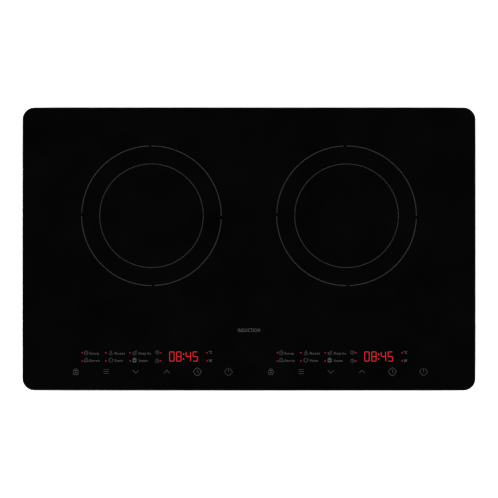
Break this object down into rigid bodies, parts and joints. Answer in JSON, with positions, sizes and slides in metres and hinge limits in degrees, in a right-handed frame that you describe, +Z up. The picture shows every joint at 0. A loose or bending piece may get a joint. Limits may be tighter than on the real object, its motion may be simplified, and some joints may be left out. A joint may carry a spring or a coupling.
{
  "type": "double induction cooktop",
  "caption": "Countertop induction cooktop: a black glass plate with two cooking zones and touch keys on a shallow vented plastic housing with rubber feet.",
  "frame": {"origin": "on the surface the feet stand on, under the middle of the glass", "axes": "+X to the cook's right, +Y away from the cook (the touch keys are at -Y), +Z up"},
  "size_m": [0.6, 0.375, 0.065],
  "materials": {
    "black_glass": "polished black glass-ceramic with printed rings and keys",
    "grey_silicone": "satin silicone bead",
    "black_plastic": "fine-grained moulding",
    "black_rubber": "matte",
    "zinc_steel": "zinc-plated",
    "white_plastic": "smooth moulding",
    "heat_resin": "glass-filled moulding",
    "copper_litz": "enamelled copper strands",
    "glass_sleeve": "woven glass-fibre sleeve",
    "mica": "pressed mica flakes",
    "dark_ferrite": "sintered, matte",
    "white_silicone": "matte",
    "fan_plastic": "semi-gloss moulding",
    "board_laminate": "solder mask over laminate",
    "bare_aluminium": "extruded",
    "device_epoxy": "moulded epoxy",
    "capacitor_box": "moulded box",
    "choke_winding": "enamelled copper wire"
  },
  "bodies": {
    "cooktop": {"glass_top": "black_glass", "glass_seal": "grey_silicone", "top_frame": "black_plastic", "bottom_housing": "black_plastic", "foot_front_left": "black_rubber", "foot_front_right": "black_rubber", "foot_rear_left": "black_rubber", "foot_rear_right": "black_rubber", "cord_gland": "black_plastic", "terminal_block": "white_plastic", "housing_screw_left_front": "zinc_steel", "housing_screw_left_rear": "zinc_steel", "housing_screw_mid_front": "zinc_steel", "housing_screw_mid_rear": "zinc_steel", "housing_screw_right_front": "zinc_steel", "housing_screw_right_rear": "zinc_steel", "mica_sheet_left": "mica", "coil_winding_left": "copper_litz", "coil_former_left": "heat_resin", "ferrite_bar_1_left": "dark_ferrite", "ferrite_bar_2_left": "dark_ferrite", "ferrite_bar_3_left": "dark_ferrite", "ferrite_bar_4_left": "dark_ferrite", "temperature_sensor_left": "white_silicone", "coil_lead_inner_left": "glass_sleeve", "coil_lead_outer_left": "glass_sleeve", "fan_frame_left": "fan_plastic", "power_board_left": "board_laminate", "heat_sink_left": "bare_aluminium", "igbt_left": "device_epoxy", "bridge_rectifier_left": "device_epoxy", "bus_capacitor_left": "capacitor_box", "resonant_capacitor_left": "capacitor_box", "filter_choke_left": "choke_winding", "control_board_left": "board_laminate", "key_carrier_left": "white_plastic", "display_module_left": "device_epoxy", "mica_sheet_right": "mica", "coil_winding_right": "copper_litz", "coil_former_right": "heat_resin", "ferrite_bar_1_right": "dark_ferrite", "ferrite_bar_2_right": "dark_ferrite", "ferrite_bar_3_right": "dark_ferrite", "ferrite_bar_4_right": "dark_ferrite", "temperature_sensor_right": "white_silicone", "coil_lead_inner_right": "glass_sleeve", "coil_lead_outer_right": "glass_sleeve", "fan_frame_right": "fan_plastic", "power_board_right": "board_laminate", "heat_sink_right": "bare_aluminium", "igbt_right": "device_epoxy", "bridge_rectifier_right": "device_epoxy", "bus_capacitor_right": "capacitor_box", "resonant_capacitor_right": "capacitor_box", "filter_choke_right": "choke_winding", "control_board_right": "board_laminate", "key_carrier_right": "white_plastic", "display_module_right": "device_epoxy"},
    "fan_rotor_left": {"fan_rotor_left": "fan_plastic"},
    "fan_rotor_right": {"fan_rotor_right": "fan_plastic"}
  },
  "joints": [
    {"name": "fan_spin_left", "type": "hinge", "parent": "cooktop", "child": "fan_rotor_left", "pos_m": [-0.1951, 0.108, 0.0245], "axis": [0, 0, 1], "continuous": true},
    {"name": "fan_spin_right", "type": "hinge", "parent": "cooktop", "child": "fan_rotor_right", "pos_m": [0.0631, 0.108, 0.0245], "axis": [0, 0, 1], "continuous": true}
  ]
}
